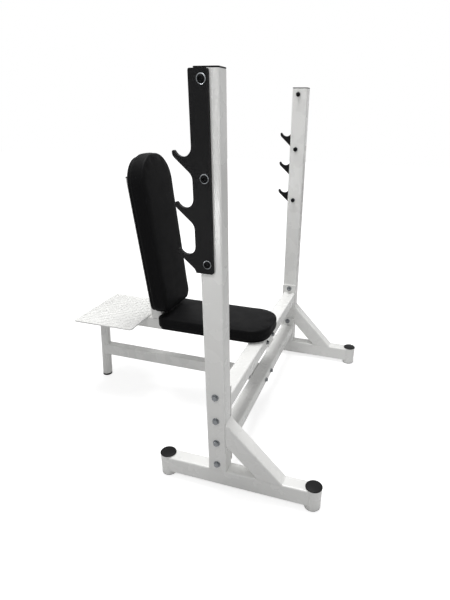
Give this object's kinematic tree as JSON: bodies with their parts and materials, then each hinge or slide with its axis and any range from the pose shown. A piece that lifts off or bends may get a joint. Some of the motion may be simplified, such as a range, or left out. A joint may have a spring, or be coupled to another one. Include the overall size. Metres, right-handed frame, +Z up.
{
  "type": "seated shoulder press bench",
  "caption": "Seated shoulder press bench: uprights with barbell hook plates, crossbeams, padded seat, tall backrest and spotter platform on a welded steel frame.",
  "frame": {"origin": "middle of the floor area, on the floor, in the bench's plane of symmetry", "axes": "+Z up; -Y is the way the seated user faces, so +Y points to the spotter platform; +X is the user's left"},
  "size_m": [1.262, 1.356, 1.4653],
  "materials": {
    "white_steel": "gloss white powder coat",
    "black_steel": "satin black powder coat",
    "zinc_steel": "bright zinc plate",
    "dark_steel": "black oxide",
    "black_plastic": "moulded, fine texture",
    "black_rubber": "matt",
    "black_vinyl": "grained vinyl, soft sheen",
    "dark_board": "stained plywood",
    "tread_plate": "white powder coat on tread plate"
  },
  "bodies": {
    "root": {"back_board": "dark_board", "back_bracket": "white_steel", "back_pad": "black_vinyl", "back_support": "white_steel", "back_support_cap": "black_plastic", "left_brace": "white_steel", "left_foot_rail": "white_steel", "left_frame_bolt_1": "zinc_steel", "left_frame_bolt_2": "zinc_steel", "left_frame_bolt_3": "zinc_steel", "left_frame_bolt_4": "zinc_steel", "left_front_post": "white_steel", "left_front_post_cap": "black_plastic", "left_front_post_glide": "black_rubber", "left_hook_bolt_1": "zinc_steel", "left_hook_bolt_2": "zinc_steel", "left_hook_bolt_3": "zinc_steel", "left_hook_nut_1": "black_steel", "left_hook_nut_2": "black_steel", "left_hook_nut_3": "black_steel", "left_hook_plate": "black_steel", "left_rear_post": "white_steel", "left_rear_post_cap": "black_plastic", "left_rear_post_glide": "black_rubber", "left_upright": "white_steel", "left_upright_cap": "black_plastic", "lower_cross_beam": "white_steel", "lower_stretcher": "white_steel", "rear_leg": "white_steel", "rear_leg_glide": "black_rubber", "right_brace": "white_steel", "right_foot_rail": "white_steel", "right_frame_bolt_1": "zinc_steel", "right_frame_bolt_2": "zinc_steel", "right_frame_bolt_3": "zinc_steel", "right_frame_bolt_4": "zinc_steel", "right_front_post": "white_steel", "right_front_post_cap": "black_plastic", "right_front_post_glide": "black_rubber", "right_hook_bolt_1": "zinc_steel", "right_hook_bolt_2": "zinc_steel", "right_hook_bolt_3": "zinc_steel", "right_hook_nut_1": "black_steel", "right_hook_nut_2": "black_steel", "right_hook_nut_3": "black_steel", "right_hook_plate": "black_steel", "right_rear_post": "white_steel", "right_rear_post_cap": "black_plastic", "right_rear_post_glide": "black_rubber", "right_upright": "white_steel", "right_upright_cap": "black_plastic", "seat_beam": "white_steel", "seat_beam_bolt_left": "dark_steel", "seat_beam_bolt_right": "dark_steel", "seat_board": "dark_board", "seat_pad": "black_vinyl", "spotter_platform": "tread_plate", "stretcher_bolt_left": "dark_steel", "stretcher_bolt_right": "dark_steel", "upper_cross_beam": "white_steel"}
  },
  "joints": []
}
